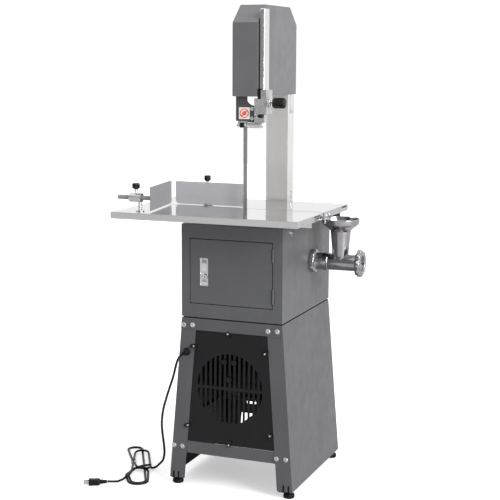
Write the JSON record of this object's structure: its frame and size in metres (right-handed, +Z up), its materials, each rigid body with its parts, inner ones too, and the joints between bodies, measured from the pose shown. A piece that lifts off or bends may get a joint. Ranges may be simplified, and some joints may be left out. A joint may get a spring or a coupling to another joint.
{
  "type": "bone saw",
  "caption": "Freestanding band saw for meat and bone, with a sliding table, a fence, a pusher and a screw grinder driven from its lower wheel shaft.",
  "frame": {"origin": "on the floor, at the middle of the machine's box in X and Y, without the free mains cord", "axes": "+Z up, +X to the grinder's side (right of a person facing the door), +Y to the back"},
  "size_m": [0.8955, 0.6922, 1.626],
  "materials": {
    "stand_paint": "smooth grey enamel over sheet steel",
    "cabinet_paint": "smooth dark grey enamel over sheet steel",
    "housing_paint": "smooth grey enamel over sheet steel",
    "vent_paint": "satin black paint",
    "brushed_stainless": "brushed stainless steel",
    "polished_stainless": "mirror-polished stainless steel",
    "cast_aluminium": "machined and polished casting",
    "zinc_steel": "bright zinc-plated steel",
    "blade_steel": "ground spring steel",
    "black_plastic": "moulded black plastic",
    "black_rubber": "soft black rubber",
    "motor_enamel": "black enamel"
  },
  "bodies": {
    "machine": {"stand_left_side": "stand_paint", "stand_right_side": "stand_paint", "stand_front_top_rail": "stand_paint", "stand_front_bottom_rail": "stand_paint", "stand_rear_panel": "stand_paint", "stand_vent_panel": "vent_paint", "foot_front_left": "black_rubber", "foot_front_right": "black_rubber", "foot_rear_left": "black_rubber", "foot_rear_right": "black_rubber", "cabinet_shell": "cabinet_paint", "door_hinge_upper": "cabinet_paint", "door_hinge_lower": "cabinet_paint", "motor": "motor_enamel", "motor_base": "motor_enamel", "drive_belt": "black_rubber", "shaft_bearing_plate": "zinc_steel", "column": "brushed_stainless", "housing_shell": "housing_paint", "saw_blade": "blade_steel", "post_clamp_block": "cast_aluminium", "fixed_table": "polished_stainless", "table_slide_rail": "brushed_stainless", "fence_guide_bar": "brushed_stainless", "grinder_flange": "polished_stainless", "grinder_barrel": "polished_stainless", "feed_funnel": "polished_stainless", "grinder_plate": "zinc_steel", "switch_box": "black_plastic", "cord_gland": "black_plastic", "cord_drop": "black_rubber", "cord_bundle": "black_rubber", "cord_tail": "black_rubber", "plug": "black_plastic"},
    "door": {"cabinet_door": "cabinet_paint"},
    "latch": {"door_latch": "polished_stainless"},
    "table": {"sliding_table": "polished_stainless", "pusher_post": "cast_aluminium"},
    "pusher": {"pusher_rod_and_plate": "brushed_stainless"},
    "pusher_screw": {"pusher_knob": "black_plastic"},
    "fence": {"fence_plate": "brushed_stainless"},
    "fence_screw": {"fence_knob": "black_plastic"},
    "guide": {"guide_post": "polished_stainless", "guide_bracket": "cast_aluminium", "blade_guard": "vent_paint"},
    "roller": {"thrust_roller": "zinc_steel"},
    "clamp_knob": {"post_clamp_knob": "black_plastic"},
    "cover": {"housing_cover": "housing_paint"},
    "axle_slide": {"upper_axle_slide": "zinc_steel"},
    "tension": {"tension_screw": "zinc_steel"},
    "top_wheel": {"upper_wheel": "cast_aluminium"},
    "drive": {"drive_shaft": "zinc_steel", "lower_wheel": "cast_aluminium", "driven_pulley": "cast_aluminium", "auger": "zinc_steel", "grinder_knife": "blade_steel"},
    "motor_drive": {"motor_pulley": "cast_aluminium"},
    "nut": {"ring_nut": "polished_stainless"},
    "barrel_screw": {"barrel_clamp_screw": "zinc_steel"},
    "button": {"switch_button": "black_plastic"}
  },
  "joints": [
    {"name": "door_swing", "type": "hinge", "parent": "machine", "child": "door", "pos_m": [0.1575, -0.2135, 0.7475], "axis": [0, 0, 1], "range_deg": [0, 110]},
    {"name": "latch_turn", "type": "hinge", "parent": "door", "child": "latch", "pos_m": [-0.0837, -0.2135, 0.7301], "axis": [0, 1, 0], "range_deg": [0, 90]},
    {"name": "table_slide", "type": "slide", "parent": "machine", "child": "table", "axis": [1, 0, 0], "range_m": [-0.05, 0.2]},
    {"name": "pusher_slide", "type": "slide", "parent": "table", "child": "pusher", "axis": [1, 0, 0], "range_m": [-0.03, 0.04]},
    {"name": "pusher_screw_turn", "type": "hinge", "parent": "table", "child": "pusher_screw", "pos_m": [-0.3055, -0.276, 1.02], "axis": [0, 0, 1], "range_deg": [0, 360]},
    {"name": "fence_slide", "type": "slide", "parent": "machine", "child": "fence", "axis": [0, 1, 0], "range_m": [-0.008, 0.1]},
    {"name": "fence_screw_turn", "type": "hinge", "parent": "fence", "child": "fence_screw", "pos_m": [-0.16, -0.018, 1.03], "axis": [0, 0, 1], "range_deg": [0, 360]},
    {"name": "guide_slide", "type": "slide", "parent": "machine", "child": "guide", "axis": [0, 0, 1], "range_m": [-0.2, 0]},
    {"name": "roller_spin", "type": "hinge", "parent": "guide", "child": "roller", "pos_m": [0.01, -0.0673, 1.231], "axis": [1, 0, 0], "continuous": true},
    {"name": "clamp_knob_turn", "type": "hinge", "parent": "machine", "child": "clamp_knob", "pos_m": [0.11, -0.061, 1.303], "axis": [1, 0, 0], "range_deg": [0, 360]},
    {"name": "cover_swing", "type": "hinge", "parent": "machine", "child": "cover", "pos_m": [-0.0375, 0.288, 1.475], "axis": [0, 0, -1], "range_deg": [0, 110]},
    {"name": "axle_slide_travel", "type": "slide", "parent": "machine", "child": "axle_slide", "axis": [0, 0, 1], "range_m": [-0.003, 0]},
    {"name": "tension_screw_turn", "type": "hinge", "parent": "axle_slide", "child": "tension", "pos_m": [0.034, 0.0795, 1.55], "axis": [0, 0, 1], "range_deg": [-540, 0]},
    {"name": "top_wheel_spin", "type": "hinge", "parent": "axle_slide", "child": "top_wheel", "pos_m": [-0.001, 0.0795, 1.4755], "axis": [1, 0, 0], "continuous": true},
    {"name": "drive_spin", "type": "hinge", "parent": "machine", "child": "drive", "pos_m": [0.01, 0.0795, 0.7595], "axis": [1, 0, 0], "continuous": true},
    {"name": "motor_spin", "type": "hinge", "parent": "machine", "child": "motor_drive", "pos_m": [0.104, 0.0795, 0.3245], "axis": [1, 0, 0], "continuous": true},
    {"name": "nut_turn", "type": "hinge", "parent": "machine", "child": "nut", "pos_m": [0.3545, 0.0795, 0.7595], "axis": [1, 0, 0], "continuous": true},
    {"name": "barrel_screw_turn", "type": "hinge", "parent": "machine", "child": "barrel_screw", "pos_m": [0.242, 0.0395, 0.7615], "axis": [0, 1, 0], "range_deg": [0, 360]},
    {"name": "button_press", "type": "slide", "parent": "machine", "child": "button", "axis": [-1, 0, 0], "range_m": [0, 0.003], "stiffness_N_per_m": 300, "springref_m": -0.004}
  ],
  "couplings": [
    {"joint": "tension_screw_turn", "follows": "axle_slide_travel", "rad_per_m": 3141.6},
    {"joint": "top_wheel_spin", "follows": "drive_spin", "ratio": 1},
    {"joint": "motor_spin", "follows": "drive_spin", "ratio": 1.8333}
  ]
}
